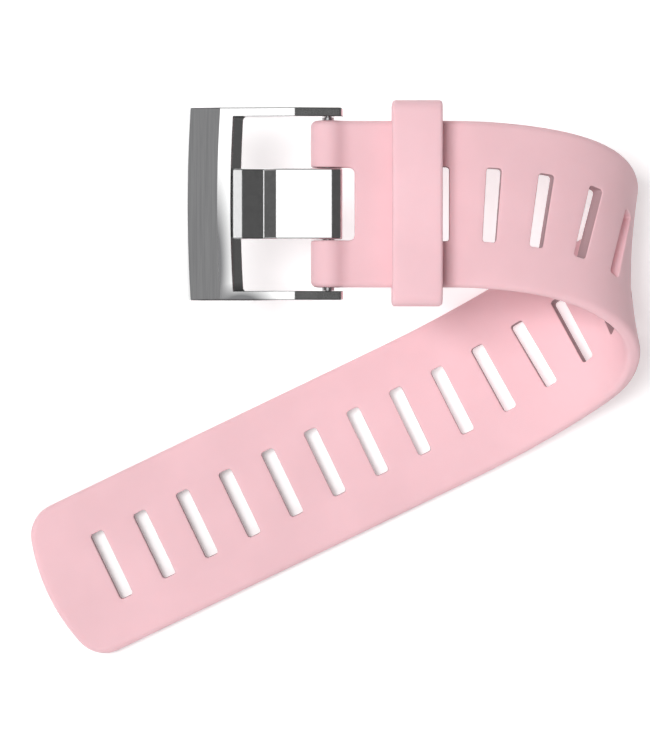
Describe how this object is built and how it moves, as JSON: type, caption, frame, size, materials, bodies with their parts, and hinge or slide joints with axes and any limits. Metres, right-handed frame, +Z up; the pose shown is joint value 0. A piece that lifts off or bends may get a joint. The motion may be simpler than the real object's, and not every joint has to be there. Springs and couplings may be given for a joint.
{
  "type": "slotted wrist band with pin buckle",
  "caption": "Folded soft rubber wrist band with cross slots, a sliding keeper loop and a swinging metal buckle with a wide tongue on a spring bar.",
  "frame": {"origin": "middle of the base of the whole folded band, on the plane that its lower leg lies on", "axes": "+X along the upper leg, from the buckle to the fold; +Y along the spring bar, from the lower leg's side to the other; +Z up, out of the upper leg's outer face"},
  "size_m": [0.0905, 0.0811, 0.0316],
  "materials": {
    "strap_rubber": "matte pale pink silicone rubber",
    "keeper_rubber": "matte pale pink silicone rubber",
    "frame_steel": "brushed front face, polished bevels and arms",
    "tongue_steel": "polished",
    "bar_steel": "satin"
  },
  "bodies": {
    "strap": {"strap": "strap_rubber", "spring_bar_tube": "bar_steel", "spring_bar_spring": "bar_steel"},
    "keeper": {"keeper_loop": "keeper_rubber"},
    "frame": {"buckle_frame": "frame_steel"},
    "tongue": {"buckle_tongue": "tongue_steel"},
    "plunger_upper": {"spring_bar_plunger_upper": "bar_steel"},
    "plunger_lower": {"spring_bar_plunger_lower": "bar_steel"}
  },
  "joints": [
    {"name": "buckle_swing", "type": "hinge", "parent": "strap", "child": "frame", "pos_m": [-0.00057, 0.02577, 0.02571], "axis": [0, 1, 0], "range_deg": [-70, 60]},
    {"name": "tongue_swing", "type": "hinge", "parent": "frame", "child": "tongue", "pos_m": [-0.00057, 0.02577, 0.02571], "axis": [0, 1, 0], "range_deg": [0, 65]},
    {"name": "keeper_slide", "type": "slide", "parent": "strap", "child": "keeper", "axis": [1, 0, 0], "range_m": [-0.002, 0.004]},
    {"name": "plunger_upper_push", "type": "slide", "parent": "strap", "child": "plunger_upper", "axis": [0, -1, 0], "range_m": [0, 0.0009], "stiffness_N_per_m": 400, "springref_m": -0.0005, "deforming": ["spring_bar_spring"]},
    {"name": "plunger_lower_push", "type": "slide", "parent": "strap", "child": "plunger_lower", "axis": [0, 1, 0], "range_m": [0, 0.0009], "stiffness_N_per_m": 400, "springref_m": -0.0005, "deforming": ["spring_bar_spring"]}
  ]
}
